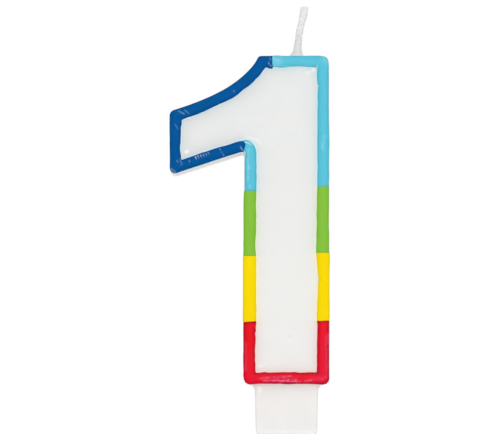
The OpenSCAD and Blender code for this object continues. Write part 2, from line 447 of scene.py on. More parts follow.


# each paint: its own colour and the tone it drifts to, what it turns to where it pools and where its edges
# take painted shade, where it is rubbed thin and where it takes a painted highlight, and where it streaks,
# and the painted bounce light and painted shade that the wax beside it loses close by and a little further
# off
paints = {
    "darkBlue": dict(
        body=(0.0009, 0.08, 0.29), tone=(0.0005, 0.074, 0.235), pool=(0.0005, 0.042, 0.167),
        thin=(0.536, 0.722, 0.86), streak=(0.0015, 0.1, 0.335), gloss=0.012,
        stain=(0.14, -0.08, -0.14), shade=(0.09, 0.09, 0.085)),
    "lightBlue": dict(
        body=(0.07, 0.495, 0.62), tone=(0.064, 0.49, 0.645), pool=(0.093, 0.342, 0.407),
        thin=(0.481, 0.786, 0.86), streak=(0.104, 0.532, 0.7), gloss=0.12,
        stain=(0.26, -0.04, -0.08), shade=(0.06, 0.05, 0.045)),
    "green": dict(
        body=(0.208, 0.49, 0.039), tone=(0.205, 0.49, 0.028), pool=(0.148, 0.342, 0.037),
        thin=(0.389, 0.647, 0.148), streak=(0.227, 0.523, 0.042), gloss=0.1,
        stain=(0.0, -0.06, 0.15), shade=(0.035, 0.035, 0.06)),
    "yellow": dict(
        body=(0.916, 0.675, 0.0009), tone=(0.925, 0.655, 0.001), pool=(0.712, 0.5, 0.0037),
        thin=(0.925, 0.795, 0.148), streak=(0.925, 0.703, 0.0019), gloss=0.02,
        stain=(-0.06, -0.04, 0.28), shade=(0.01, 0.01, 0.04)),
    "red": dict(
        body=(0.758, 0.0028, 0.026), tone=(0.8, 0.004, 0.009), pool=(0.333, 0.0019, 0.017),
        thin=(0.925, 0.204, 0.389), streak=(0.795, 0.0083, 0.044), gloss=0.05,
        stain=(-0.07, 0.07, 0.13), shade=(0.015, 0.05, 0.075)),
}
brushwork = {
    "grain": (6.5, 0.25),
    "grainShare": 0.25,  # of the bump
    "bump": (0.5, 0.04),
    "fineness": 9.0,
    "roughness": (0.24, 0.38),
}


def makePaintMaterial(name, paint, seed):
    material = bpy.data.materials.new(name + "Paint")
    tree = freshTree(material)
    grain = addGrain(tree, *brushwork["grain"])
    stroke = readValue(tree, "stroke", "Vector")
    brush = addNode(tree, "Group", (stroke, brushwork["fineness"], seed), node_tree=brushGroup)
    colour = mixColour(tree, grain["Cloud"], paint["body"], paint["tone"])
    colour = mixColour(tree, brush["Streak"], colour, paint["streak"])
    # the pools hold painted shade along the edges, and the pale marks are partly rubbed paint and partly
    # painted highlights
    for value, key in (("drift", "tone"), ("pool", "pool"), ("thin", "thin")):
        colour = mixColour(tree, readValue(tree, value), colour, paint[key])
    height = mathNode(tree, "MULTIPLY_ADD", grain["Grain"], brushwork["grainShare"], brush["Height"])
    finishMaterial(tree, {
        "Base Color": colour,
        "Roughness": mapValue(tree, grain["Cloud"], 0.0, 1.0, *brushwork["roughness"]),
        "Normal": bumpFrom(tree, height, *brushwork["bump"]),
        "Specular IOR Level": paint["gloss"],
    })
    return material


waxMaterial = makeWaxMaterial()
paintMaterials = {}
for number, (paintName, paint) in enumerate(paints.items()):
    paintMaterials[paintName] = makePaintMaterial(paintName, paint, 3.0 + 7.0 * number)
print("materials made")


# way across the rim, from 0 at its outer edge to 1 at its inner one
def crestAcross(share):
    turn = np.cos(np.pi * share)
    return (1 - np.sign(turn) * np.abs(turn) ** numeral["rimRound"]) / 2


# front crest of the rim: inset from the outline and depth, for a width and a height
def crestAt(share, inset, width, height):
    rise = np.maximum(np.sin(np.pi * share), 0) ** numeral["rimRound"]
    return inset + width * crestAcross(share), panelY - height * rise


# what the coats share, unless one has its own: stations along the middle of the rim, and spokes across it
coat = {
    "step": 0.18,  # stations along the rim
    "shares": 22,  # points across the crest
    "insets": (-0.4, 3.61),  # reach of the spokes
    "insetStep": 0.2,
    "wallPoints": 3,
    "underPoints": 7,
    "film": 0.045,  # how far the paint stands off the side wall
    "wallTaper": 1.6,  # how fast it thins out there
    "lap": 0.22,  # how far it runs back along the side wall
    "lapWaver": 0.9,
    "overlap": 0.35,
    "sunk": 0.025,
    "endSink": 0.12,  # an end thins out by this, over this length, behind a small bead
    "endRound": 0.14,
    "bead": 0.03,
    "beadAt": 0.3,
    "beadW": 0.2,
    "relief": 0.012,
    "swell": 0.02,  # longer waves of the brushed face
    "waverIn": 0.05,  # how much the edges waver, in long and in short waves
    "waverOut": 0.03,
    "shortIn": 0.04,
    "shortOut": 0.02,
    "outward": 0.0,  # reach past the rim's outer and inner edge
    "inward": 0.0,
    "short": 0.02,  # how far the inner edge stays back from the panel's fillet
    "bends": [],  # where the inner edge strays: place, half length, how far inwards
    "bulges": [],  # where the outer edge strays outwards
    "pool": 0.3,
    "poolW": 0.21,
    "endPool": 0.3,
    "marks": [],
    "drifts": [],  # strokes in which the paint is all of its second tone
}
insetLevels = np.arange(*coat["insets"], coat["insetStep"])
spokes = np.stack([outlineAt(inset, coat["step"]) for inset in insetLevels])
starts = np.cumsum([0] + [arcSteps + edgeCount(k, coat["step"]) for k in range(len(places) - 1)])
midRim = outlineAt(rimW / 2, coat["step"])
stepLengths = np.linalg.norm(np.roll(midRim, -1, axis=0) - midRim, axis=1)
along = np.concatenate([[0], np.cumsum(stepLengths)])
rimLength = along[-1]


# point of the front view at a length along the rim and an inset
def rimPoint(length, inset):
    station = np.interp(np.mod(length, rimLength), along, np.arange(len(along)))
    first = np.floor(station).astype(int)
    part = (station - first)[..., None]
    count = spokes.shape[1]
    first, second = first % count, (first + 1) % count
    level = np.clip((inset - insetLevels[0]) / coat["insetStep"], 0, len(insetLevels) - 1.001)
    low = np.floor(level).astype(int)
    rest = (level - low)[..., None]
    outer, inner = (spokes[k, first] * (1 - part) + spokes[k, second] * part for k in (low, low + 1))
    return outer * (1 - rest) + inner * rest


def skinPoint(length, inset, depth):
    plan = rimPoint(length, inset)
    return columns(plan[..., 0], depth, plan[..., 1])


def lengthAt(corner, axis, value):
    first = starts[corner] + arcSteps
    last = starts[corner + 1] if corner + 1 < len(starts) else len(midRim) - 1
    numbers, lengths = midRim[first:last + 1, axis], along[first:last + 1]
    order = np.argsort(numbers)
    return float(np.interp(value, numbers[order], lengths[order]))


# length along the rim at the top of a coat's solid, or at its bottom
def sideLength(corner, node, end=1):
    return lengthAt(corner, 1, boxOf(node)[end][2])


elbowShares = np.array([0.44, 0.34])  # of the arc at the flag's root
elbow = np.interp(starts[rootCorner] + elbowShares * arcSteps, np.arange(len(along)), along)
paintEdges, edgePaints = [], []


def camelCase(words):
    first, *others = words.split("_")
    return first + "".join(word.title() for word in others)


# an edge that strays at some places: each with its half length and how far
def stray(edge, x, z, spots):
    for spotX, spotZ, halfLong, amount in spots:
        edge = edge + amount * np.exp(-((x - spotX) ** 2 + (z - underZ - spotZ) ** 2) / halfLong**2)
    return edge


# one stretch of paint: a closed skin with a brushed face, ragged ends and wavering edges
def makeCoat(node, style, seed, startSeam):
    start, startTilt, startRag, startTop = startSeam
    end, endTilt, endRag, endTop = style["seam"]
    if end < start:
        end += rimLength
    colour, poolW = node.split("_coat")[0], style["poolW"]
    paint = camelCase(colour)
    count = round((end - start) / style["step"]) + 6
    wall = np.linspace(-1, 0, coat["wallPoints"], endpoint=False)
    section = np.concatenate([wall, np.linspace(0, 1, style["shares"])])
    crest = np.maximum(section, 0)
    across = np.clip(crestAcross(crest), 0, 1)
    startOver, endOver = startTop == "next", endTop == "last"
    lowRag = startRag * waver(section * 5 + 20, seed + 1) if startOver else coat["overlap"]
    highRag = endRag * waver(section * 5 + 20, seed + 2) if endOver else coat["overlap"]
    lowEnd = start + startTilt * across - lowRag
    highEnd = end + endTilt * across + highRag
    length = lowEnd + (highEnd - lowEnd) * np.linspace(0, 1, count)[:, None]

    # edges that waver along the stroke
    out = style["waverOut"] * waver(length / 7 + 40, seed + 3)
    out = out + coat["shortOut"] * waver(length / 1.3 + 70, seed + 4)
    inner = style["waverIn"] * waver(length / 6 + 50, seed + 5)
    inner = inner + coat["shortIn"] * waver(length / 1.1 + 90, seed + 6)
    x, z = np.moveaxis(rimPoint(length, np.full_like(length, rimW / 2)), -1, 0)
    inner = stray(inner, x, z, style["bends"])
    out = -stray(-out, x, z, style["bulges"]) - style["outward"]
    width = rimW + inner + style["inward"] - out - coat["short"]
    lap = style["lap"] * (1 + coat["lapWaver"] * waver(length / 2.2 + 30, seed + 7))
    inset, depth = crestAt(crest, out, width, rimH)
    onWall = section < 0
    depth = np.where(onWall, panelY - section * lap, depth)
    inset = np.where(onWall, out - coat["film"] * (1 + section * coat["wallTaper"]), inset)

    # brushed relief, in millimetres off the crest
    strokes = waver2(across * 11 + 30, length / 5 + 8, seed + 8)
    strokes = strokes + 0.6 * waver2(across * 23 + 10, length / 3 + 4, seed + 9)
    waves = waver2(across * 2 + 15, length / 3.5 + 6, seed + 10)
    relief = style["relief"] * strokes + coat["swell"] * waves
    x, z = np.moveaxis(rimPoint(length, inset), -1, 0)
    thin, thick, drift, ends = np.zeros((4, *length.shape))
    for *stroke, strength in style["drifts"]:
        drift = np.maximum(drift, strength * strokeMask(x, z, *stroke))
    # pale marks: paint rubbed thin and painted highlights
    for *stroke, strength, rise in style["marks"]:
        mask = strokeMask(x, z, *stroke)
        thin = np.maximum(thin, strength * mask)
        thick = np.maximum(thick, -strength * mask)
        relief = relief + rise * mask
    thin = thin * (0.7 + 0.6 * waver2(across * 19 + 3, length * 2.5 + 5, seed + 11))
    for gap, onTop in ((length - lowEnd, startOver), (highEnd - length, endOver)):
        if onTop:
            relief = relief - coat["endSink"] * (1 - np.sqrt(np.clip(gap / coat["endRound"], 0, 1)))
            relief = relief + coat["bead"] * np.exp(-(((gap - coat["beadAt"]) / coat["beadW"]) ** 2))
            ends = np.maximum(ends, np.exp(-((gap / poolW) ** 2)))
        else:
            hidden = 1 - smoothStep(gap, 0.5 * coat["overlap"], 1.2 * coat["overlap"])
            relief = relief - coat["endSink"] * hidden
    wayIn, wayY = np.gradient(inset, axis=1), np.gradient(depth, axis=1)
    lift = relief / (np.hypot(wayIn, wayY) + 1e-12)
    outer = skinPoint(length, inset + lift * wayY, depth - lift * wayIn)
    for edge in (outer[:, 0], outer[:, -1]):
        paintEdges.extend(edge)
        edgePaints.extend([paints[paint]] * count)

    # paint pools and takes painted shade along both edges, and pools where a coat ends on another
    fromEdge = np.minimum(across, 1 - across) * width
    ragged = 0.7 + 0.3 * waver(length / 1.7 + 60, seed + 12)
    pool = style["pool"] * np.exp(-((fromEdge / poolW) ** 2)) * ragged + style["endPool"] * ends + thick

    # back of the coat, just under the skin of the wax crest
    pick = np.linspace(0, len(section) - 1, coat["underPoints"]).round().astype(int)[::-1]
    backInset, backDepth = crestAt(crest[pick], coatT, rimW - 2 * coatT, rimH - coatT)
    backDepth = np.where(onWall[pick], outer[:, pick, 1], backDepth + coat["sunk"])
    backInset = np.where(onWall[pick], coatT, backInset)
    under = skinPoint(length[:, pick], backInset, backDepth)

    points, faces = [], []
    addTube(points, faces, np.concatenate([outer, under], axis=1))
    stroke = columns(length, across + 0 * length, 0 * length)
    values = {"stroke": stroke, "thin": np.clip(thin, 0, 1), "pool": np.clip(pool, 0, 1), "drift": drift}
    for key, numbers in values.items():
        blank = np.zeros((count, len(pick), *numbers.shape[2:]))
        values[key] = np.concatenate([numbers, blank], axis=1).reshape(-1, *numbers.shape[2:])
    piece = makePiece(camelCase("paint_" + node.replace("_coat", "")), points, faces, values)
    dress(piece, 70, paintMaterials[paint], node)


# a mark is a stroke between two places over the stem's underside: half width, strength and rise; where the
# strength is above 0 the paint turns pale there, partly rubbed thin and partly painted highlight, and it
# pools where the strength is below 0
darkBlueMarks = [
    (-21.9, 55.4, -20.8, 54.8, 0.11, 0.42, 0.03),
    (-20.7, 55.6, -19.7, 54.8, 0.09, 0.28, 0.03),
    (-22.6, 52.7, -22.0, 51.7, 0.09, 0.3, 0.03),
    (-21.6, 45.7, -21.2, 44.6, 0.1, 0.3, 0.02),
    (-22.2, 45.3, -21.9, 44.9, 0.1, 0.25, 0.02),
    (-19.8, 45.4, -19.5, 45.0, 0.1, 0.3, 0.02),
    (-23.4, 43.6, -22.6, 43.0, 0.2, 0.4, 0.0),
    (-13.5, 47.7, -13.4, 47.5, 0.1, 0.4, 0.02),
    (-13.2, 47.0, -13.1, 46.9, 0.1, 0.45, 0.02),
    (-12.8, 46.5, -12.7, 46.3, 0.1, 0.45, 0.02),
    (-9.3, 48.0, -8.9, 47.5, 0.12, 0.5, 0.02),
    (-3.6, 65.1, -3.5, 64.9, 0.12, 0.5, 0.02),
    (-3.2, 64.7, -3.1, 64.5, 0.12, 0.45, 0.02),
    (-3.4, 66.2, -3.2, 65.8, 0.1, 0.3, 0.02),
    (-10.7, 59.4, -10.5, 59.3, 0.1, 0.35, 0.02),
]
for k in range(6):
    left, high = -18.5 + 0.52 * k, 46.15 + 0.16 * k
    right, low = -18.25 + 0.52 * k, 45.65 + 0.18 * k
    darkBlueMarks.append((left, high, right, low, 0.085, 0.9 - 0.1 * k, 0.04))
lightBlueRightMarks = [
    (-2.6 + 0.42 * k, 66.4, -2.3 + 0.42 * k, 64.6, 0.15, 0.7 - 0.13 * k, 0.02) for k in range(5)]
lightBlueRightMarks += [
    (6.25, 64.7, 6.35, 64.2, 0.14, 0.9, 0.03),
    (5.6, 64.3, 5.7, 64.1, 0.18, 1.0, 0.02),
    (-0.6, 64.5, 5.0, 64.6, 0.14, 0.3, 0.01),
    (7.4, 50.2, 7.4, 47.7, 0.3, 0.25, 0.0),
    (7.4, 66.2, 8.3, 65.2, 0.35, 0.25, 0.0),
]
lightBlueLeftMarks = [
    (-8.3, 49.1, -7.9, 48.9, 0.2, 0.95, 0.04),
    (-7.6, 48.9, -7.2, 48.6, 0.2, 0.95, 0.04),
    (-7.8, 47.5, -7.8, 41.2, 0.28, 0.3, 0.01),
    (-7.7, 44.5, -7.7, 43.6, 0.2, 0.6, 0.03),
    (-7.4, 40.3, -7.4, 40.0, 0.2, 1.0, 0.03),
]
redMarks = [
    (-5.4, 1.15, -4.3, 0.8, 0.11, 0.5, 0.03),
    (3.6, 0.65, 5.0, 0.85, 0.12, 0.65, 0.03),
    (4.6, 0.8, 7.3, 1.1, 0.4, 0.12, 0.0),
    (-4.6, 1.05, 1.9, 0.95, 0.45, 0.14, 0.0),
    (7.3, 1.1, 7.4, 1.2, 0.1, 0.5, 0.02),
    (7.8, 1.4, 7.9, 1.5, 0.1, 0.5, 0.02),
    (-1.4, 1.6, 1.0, 1.7, 0.1, 0.5, 0.03),
    (-8.25, 8.4, -8.25, 2.8, 0.17, 0.24, 0.01),
    (8.05, 9.8, 8.1, 1.3, 0.18, 0.24, 0.01),
    (8.4, 10.2, 8.4, 8.2, 0.12, 0.4, 0.0),
    (-6.5, 11.9, -6.4, 11.8, 0.1, 0.4, 0.02),
    (-1.5, 0.7, 2.8, 0.58, 0.15, 0.75, 0.02),
]
# rows of short brush marks under the panel, the pale ones partly painted highlight: height, two ends, weakest
# and strongest, rise
redRows = [
    (1.34, -4.6, 0.3, 0.35, 0.8, 0.03),
    (0.72, -4.6, 2.2, 0.45, 1.0, 0.04),
    (0.24, -3.8, 2.6, -1.0, -0.5, -0.03),
    (1.04, -4.2, 2.4, -0.6, -0.2, -0.02),
]
drawRed = np.random.default_rng(19)
for height, rowLeft, rowRight, weak, strong, rise in redRows:
    for left in np.arange(rowLeft, rowRight, 0.5):
        left = left + drawRed.uniform(-0.15, 0.15)
        right = left + drawRed.uniform(0.35, 0.8)
        middle = height + drawRed.uniform(-0.1, 0.1)
        tilt = drawRed.uniform(-0.14, 0.14)
        strength = drawRed.uniform(weak, strong)
        redMarks.append((left, middle - tilt, right, middle + tilt, 0.11, strength, rise))


# the coats round the rim, each with the seam at its far end: length along the rim at the seam's outer end,
# shift of its inner end, raggedness, and the coat on top
coats = {
    "red_coat": dict(
        seam=(sideLength(rightEdge, "red_coat") - 0.02, -0.1, 0.08, "last"), relief=0.018, waverIn=0.06,
        waverOut=0.05, outward=0.07, inward=0.08, pool=0.85, poolW=0.42, endPool=0.8, marks=redMarks,
        drifts=[(-7.6, 12.5, -7.6, 7.5, 1.2, 1.0), (-7.6, 7.0, -7.4, 1.6, 1.0, 0.5),
                (1.4, 1.9, 5.2, 1.9, 0.6, 0.9), (7.2, 12.4, 7.2, 10.0, 1.0, 0.6)],
        bends=[(-7.4, 10.2, 0.4, -0.14), (-7.4, 11.6, 0.4, -0.05), (-7.4, 5.5, 4.0, -0.16),
               (-5.4, 1.2, 1.0, 0.08), (3.5, 1.2, 0.9, -0.12)],
        bulges=[(0.0, 1.2, 7.0, -0.2), (0.5, 1.2, 1.2, 0.1), (4.4, 1.2, 1.6, -0.12), (-5.0, 1.2, 1.5, -0.07),
                (-7.4, 5.5, 3.0, 0.12), (-7.4, 2.1, 0.7, 0.1)]),
    "yellow_coat_right": dict(
        seam=(sideLength(rightEdge, "yellow_coat_right") - 0.3, 0.0, 0.05, "next"),
        outward=0.06, inward=0.06, pool=0.25, endPool=0.1, bulges=[(7.4, 25.0, 1.5, 0.09)],
        bends=[(7.4, 20.3, 4.8, -0.16), (7.4, 21.4, 2.6, -0.13), (7.4, 26.4, 1.2, 0.12)]),
    "green_coat_right": dict(
        seam=(sideLength(rightEdge, "green_coat_right") - 0.1, -0.05, 0.05, "next"),
        outward=0.06, inward=0.12, bulges=[(7.4, 33.0, 2.5, -0.06)],
        bends=[(7.4, 27.5, 2.0, 0.08), (7.4, 39.5, 1.5, -0.1)]),
    "light_blue_coat_right": dict(
        seam=(lengthAt(topEdge, 0, blueLow[0]) - 0.5, 0.9, 0.2, "next"),
        waverIn=0.07, outward=0.04, inward=-0.13, pool=0.45, marks=lightBlueRightMarks,
        bends=[(7.4, 60.7, 0.3, -0.14), (7.4, 60.0, 1.4, -0.07), (7.4, 48.0, 4.0, 0.13),
               (7.4, 63.5, 1.0, 0.07), (7.4, 41.8, 1.6, 0.1), (-1.4, 65.5, 1.7, 0.16),
               (3.6, 65.5, 1.5, -0.07)],
        bulges=[(7.4, 48.5, 4.0, 0.1), (-1.8, 65.5, 1.2, 0.1), (7.4, 65.5, 0.6, -0.14)]),
    "dark_blue_coat": dict(
        seam=(elbow[0], elbow[1] - elbow[0], 0.1, "last"), step=0.12, shares=26, lap=0.1, relief=0.014,
        waverIn=0.07, inward=-0.07, pool=0.5, endPool=0.6, marks=darkBlueMarks,
        bends=[(-8.0, 60.6, 5.0, 0.15), (-9.2, 60.6, 1.4, -0.13), (-22.5, 47.4, 2.4, -0.13),
               (-19.0, 45.6, 4.0, 0.06), (-13.0, 47.3, 4.5, 0.14), (-11.8, 47.8, 1.6, -0.12),
               (-3.7, 65.4, 0.9, 0.28), (-22.5, 54.0, 1.0, 0.13), (-11.5, 59.0, 1.0, 0.09)],
        bulges=[(-19.5, 45.4, 3.0, -0.12), (-14.5, 46.8, 3.0, -0.09), (-10.3, 48.1, 2.5, -0.13),
                (-6.0, 63.9, 1.6, -0.08), (-12.0, 58.8, 3.5, -0.04)]),
    "light_blue_coat_left": dict(
        seam=(sideLength(rootCorner, "green_coat_left") + 0.2, -0.02, 0.05, "last"),
        outward=-0.15, inward=0.13, pool=0.45, marks=lightBlueLeftMarks,
        bends=[(-8.1, 48.4, 1.2, 0.2)], bulges=[(-7.4, 47.2, 1.3, -0.12)]),
    "green_coat_left": dict(
        seam=(sideLength(rootCorner, "yellow_coat_left") + 0.25, -0.03, 0.05, "last"),
        outward=0.13, inward=0.06, bends=[(-7.4, 28.0, 2.5, -0.13)], bulges=[(-7.4, 38.8, 1.6, -0.12)]),
    "yellow_coat_left": dict(
        seam=(sideLength(rootCorner, "yellow_coat_left", 0) + 0.07, -0.1, 0.08, "next"),
        outward=0.25, inward=0.1, pool=0.25, endPool=0.1),
}
startSeam = coats["yellow_coat_left"]["seam"]
for k, (node, changes) in enumerate(coats.items()):
    makeCoat(node, {**coat, **changes}, 100 + 20 * k, startSeam)
    startSeam = changes["seam"]
print("rim painted in", len(coats), "stretches")


waxBody = {
    "step": 0.3,
    "wallStep": 0.9,
    "wallEnd": 0.1,  # how far behind the panel the side wall ends
    "nudge": 0.1,  # small step inwards, which gives the way out of the wall
    "backEdgeR": 0.6,
    "wall": 0.025,  # waviness of the sides
    "panelWave": 0.035,
    "backSink": 0.12,  # the back sank a little as the wax cooled, up to this far from its edge
    "sinkReach": 5,
    "backWave": 0.03,
    "filletIn": 2.6,
    "panelRings": [2.7, 2.82, 3.0, 3.3, 3.75, 4.4],
    "panelStep": 0.7,
    "backStep": 1.1,
    "rowShare": 0.87,  # of the step: rows of filling points, and how far they stay clear of the edge
    "clearShare": 0.45,
    # small lumps and a dimple on the panel, the lumps with a painted highlight: place over the stem's
    # underside, half length and height, rise
    "lumps": [
        (4.4, 63.2, 0.6, 0.2, 0.1),
        (5.5, 63.9, 0.3, 0.35, 0.14),
        (-20.3, 47.1, 0.45, 0.3, 0.12),
        (-5.2, 3.7, 0.45, 0.2, 0.12),
        (0.5, 9.4, 0.5, 0.35, -0.09),
    ],
}


def lumpHeight(x, z):
    height, gleam = np.zeros_like(x), np.zeros_like(x)
    for middleX, middleZ, halfLong, halfHigh, rise in waxBody["lumps"]:
        mask = np.exp(-(((x - middleX) / halfLong) ** 2) - ((z - underZ - middleZ) / halfHigh) ** 2)
        height += rise * mask
        # raised lumps take a painted highlight
        if rise > 0:
            gleam = np.maximum(gleam, mask)
    return height, gleam


def insideOutline(points, outline):
    x, z = points[:, 0:1], points[:, 1:2]
    x0, z0 = outline.T
    x1, z1 = np.roll(x0, -1), np.roll(z0, -1)
    spans = (z0 > z) != (z1 > z)
    cross = x0 + (z - z0) * (x1 - x0) / np.where(z1 == z0, 1e-12, z1 - z0)
    odd = (spans & (x < cross)).sum(axis=1) % 2 == 1
    gap = np.sqrt(((points[:, None, :] - outline[None]) ** 2).sum(axis=2)).min(axis=1)
    return odd, gap


# staggered points that fill an outline, clear of its edge, and the triangles to its corners
def fillOutline(outline, step, extra):
    low, high = outline.min(axis=0), outline.max(axis=0)
    grid = []
    for k, z in enumerate(np.arange(low[1], high[1], step * waxBody["rowShare"])):
        x = np.arange(low[0] + (k % 2) * step / 2, high[0], step)
        grid.append(columns(x, np.full_like(x, z)))
    points = np.concatenate(grid + extra)
    inside, gap = insideOutline(points, outline)
    points = points[inside & (gap > step * waxBody["clearShare"])]
    count = len(outline)
    everyPoint = [Vector(p) for p in np.concatenate([outline, points])]
    edges = [(i, (i + 1) % count) for i in range(count)]
    flat, _, faces, _, _, _ = delaunay_2d_cdt(everyPoint, edges, [list(range(count))], 1, 1e-7)
    return np.array([[p.x, p.y] for p in flat]), faces


# finer points on each lump, off the grid of the others
def lumpPoints():
    spots = []
    for middleX, middleZ, halfLong, halfHigh, _ in waxBody["lumps"]:
        x, z = np.meshgrid(np.linspace(-2, 2, 13) * halfLong, np.linspace(-2, 2, 11) * halfHigh)
        spots.append(columns(middleX + x.ravel() + 0.013, underZ + middleZ + z.ravel() + 0.017))
    return spots


def panelDepth(x, z):
    wave = waver2(x / 5 + 9, z / 6 + 3, 41) + 0.4 * waver2(x / 2 + 5, z / 2.4 + 8, 42)
    return panelY + waxBody["panelWave"] * wave - lumpHeight(x, z)[0]


def makeBody():
    step, edgeR, filletIn, nudge = (waxBody[key] for key in ("step", "backEdgeR", "filletIn", "nudge"))
    turns = np.linspace(0, quarter, 7)
    section = [(edgeR * (1 - math.sin(a)), backY - edgeR * (1 - math.cos(a))) for a in turns]
    wallCount = round((backY - edgeR - panelY) / waxBody["wallStep"])
    section += [(0.0, y) for y in np.linspace(backY - edgeR, panelY + waxBody["wallEnd"], wallCount)[1:]]
    inset, depth = crestAt(np.linspace(0, 0.9, 9), coatT, rimW - 2 * coatT, rimH - coatT)
    section += list(zip(inset, depth))
    reach, rise = filletIn - inset[-1], panelY - depth[-1]
    for a in np.linspace(0, quarter, 6)[1:]:
        section.append((filletIn - reach * math.cos(a), depth[-1] + rise * math.sin(a)))
    section += [(drawnIn, panelY) for drawnIn in waxBody["panelRings"]]
    rings = []
    for drawnIn, y in section:
        ring = outlineAt(drawnIn, step)
        depthY = np.full(len(ring), y)
        if drawnIn < edgeR and y > panelY:
            push = waxBody["wall"] * waver2(np.arange(len(ring)) * step / 4, depthY / 3 + 7, 31)
            ring = ring + (outlineAt(drawnIn + nudge, step) - ring) / nudge * np.abs(push)[:, None]
        elif drawnIn >= filletIn:
            depthY = panelDepth(*ring.T)
        rings.append(columns(ring[:, 0], depthY, ring[:, 1]))
    sides = len(rings[0])
    points = list(np.concatenate(rings))
    faces = ringFaces(len(rings), sides)
    for first, ring, front in ((0, rings[0], False), (len(points) - sides, rings[-1], True)):
        outline = ring[:, [0, 2]]
        fillStep, extra = (waxBody["panelStep"], lumpPoints()) if front else (waxBody["backStep"], [])
        flat, triangles = fillOutline(outline, fillStep, extra)
        x, z = flat[sides:].T
        if front:
            y = panelDepth(x, z)
        else:
            sink = smoothStep(insideOutline(flat[sides:], outline)[1], 0, waxBody["sinkReach"])
            y = backY - waxBody["backSink"] * sink - waxBody["backWave"] * np.abs(waver2(x / 4, z / 5, 51))
        start = len(points) - sides
        points += list(columns(x, y, z))
        for face in triangles:
            face = tuple(i + (first if i < sides else start) for i in face)
            faces.append(face if front else face[::-1])
    return makePiece("candleWax", points, faces)


foot = {
    "topW": 12.8,
    "topD": 7.0,
    "taper": 0.2,
    "cornerR": 0.4,
    "leastR": 0.25,
    "endR": 0.5,
    "endEdge": 0.12,  # the same round, seen from the side
    "filletX": 1.3,
    "filletY": 0.4,
    "sink": 0.8,  # how far it reaches up into the stem
    "sides": 96,
    "wave": 0.02,
    "sunkGrow": (0.1, 0.03),  # how much wider its hidden top is
}


# rounded oblong at a height, walked round from the right: straight sides and corners by turns
def footRing(z, growX, growY):
    taper = foot["taper"] * (1 - z / underZ)
    radius = max(foot["cornerR"] + min(growX, growY), foot["leastR"])
    straightX = foot["topW"] / 2 - taper + growX - radius
    straightY = foot["topD"] / 2 - taper + growY - radius
    corners = np.array([(1, 1), (-1, 1), (-1, -1), (1, -1)]) * (straightX, straightY)
    lengths = np.array([2 * straightY, quarter * radius, 2 * straightX, quarter * radius] * 2)
    ends = np.concatenate([[0], np.cumsum(lengths)])
    points = []
    for s in np.linspace(0, ends[-1], foot["sides"], endpoint=False):
        k = int(np.searchsorted(ends, s, side="right")) - 1
        part = (s - ends[k]) / lengths[k]
        side, onCorner = divmod(k, 2)
        shift, turn = (1, side + part) if onCorner else (part, side)
        centre = corners[side - 1] * (1 - shift) + corners[side] * shift
        points.append((*(centre + radius * wayOf(turn * quarter)), z))
    return np.array(points)


def makeFoot():
    endR, filletX = foot["endR"], foot["filletX"]
    steps = []
    for a in np.linspace(0, quarter, 8):
        grow = math.sin(a) - 1
        steps.append((endR * (1 - math.cos(a)), endR * grow, foot["endEdge"] * grow))
    steps += [(z, 0, 0) for z in np.linspace(endR, underZ - filletX, 14)[1:-1]]
    for a in np.linspace(0, quarter, 9)[:-1]:
        grow = 1 - math.cos(a)
        steps.append((underZ - filletX * (1 - math.sin(a)), filletX * grow, foot["filletY"] * grow))
    _, growX, growY = steps[-1]
    moreX, moreY = foot["sunkGrow"]
    steps.append((underZ + foot["sink"], growX + moreX, growY + moreY))
    rings = []
    for z, growX, growY in steps:
        ring = footRing(z, growX, growY)
        wave = foot["wave"] * waver2(ring[:, 0] / 2.5 + 11, ring[:, 1] / 2.5 + z / 3 + 20, 61)
        ring[:, :2] *= 1 - np.abs(wave)[:, None] / foot["topD"] * smoothStep(z, 0, 1)
        rings.append(ring)
    return ringSolid("waxFoot", rings)


# the wick: the same route and swelling as in the solid, in shares of its lean and length
wick = {
    "x": stemX - numeral["topW"] / 2 + 0.8,
    "openZ": waxHigh[2],
    "length": wickHigh[2] - waxHigh[2],
    "lean": 1.5,
    "route": [(0, 0), (0.05, 0.12), (0.2, 0.3), (0.3, 0.45), (0.5, 0.58), (0.7, 0.7), (0.9, 0.86), (1, 1)],
    "soft": 0.05,  # share of the length over which its bends are softened
    "swell": [0.94, 0.88, 0.94, 0.98, 0.9, 0.96, 1.1, 0.8],
    "openD": 1.6,
    "coreD": 1.3,
    "coreShare": 0.9,  # of its width that the plain core takes up
    "plait": 2.9,  # length of one full plait
    "tip": 0.3,
    "spread": (0.39, 0.25),  # sway of a strand to the side and in depth, and its radius, in half widths
    "strandR": 0.6,
    "plies": 4,
    "plyTurn": 0.9,
    "plyDepth": 0.04,
    "ringStep": 0.1,
    "sides": 16,
    "below": 2.2,  # plaited length that stays in the wax
    "sleeve": 4.1,  # height over the numeral that wax has crept up to
    "held": 0.8,  # the wick is pressed to this share of its width inside the wax
    "fibres": 45,
    "fibreR": 0.022,
    "fibreDrop": 1.6,  # usual depth under the tip
    "fibreRise": (0.1, 1.0),
    "fibreCurl": 0.25,
    "fibreReach": (0.15, 0.35),
}
routeLeans, routeRises = np.array(wick["route"], float).T


def wickMiddle(z):
    rise = (np.asarray(z, float) - wick["openZ"]) / wick["length"]
    shifts = (-wick["soft"], 0, wick["soft"])
    before, lean, after = (np.interp(rise + shift, routeRises, routeLeans) for shift in shifts)
    return wick["x"] + wick["lean"] * (lean + (before + after) / 2) / 2


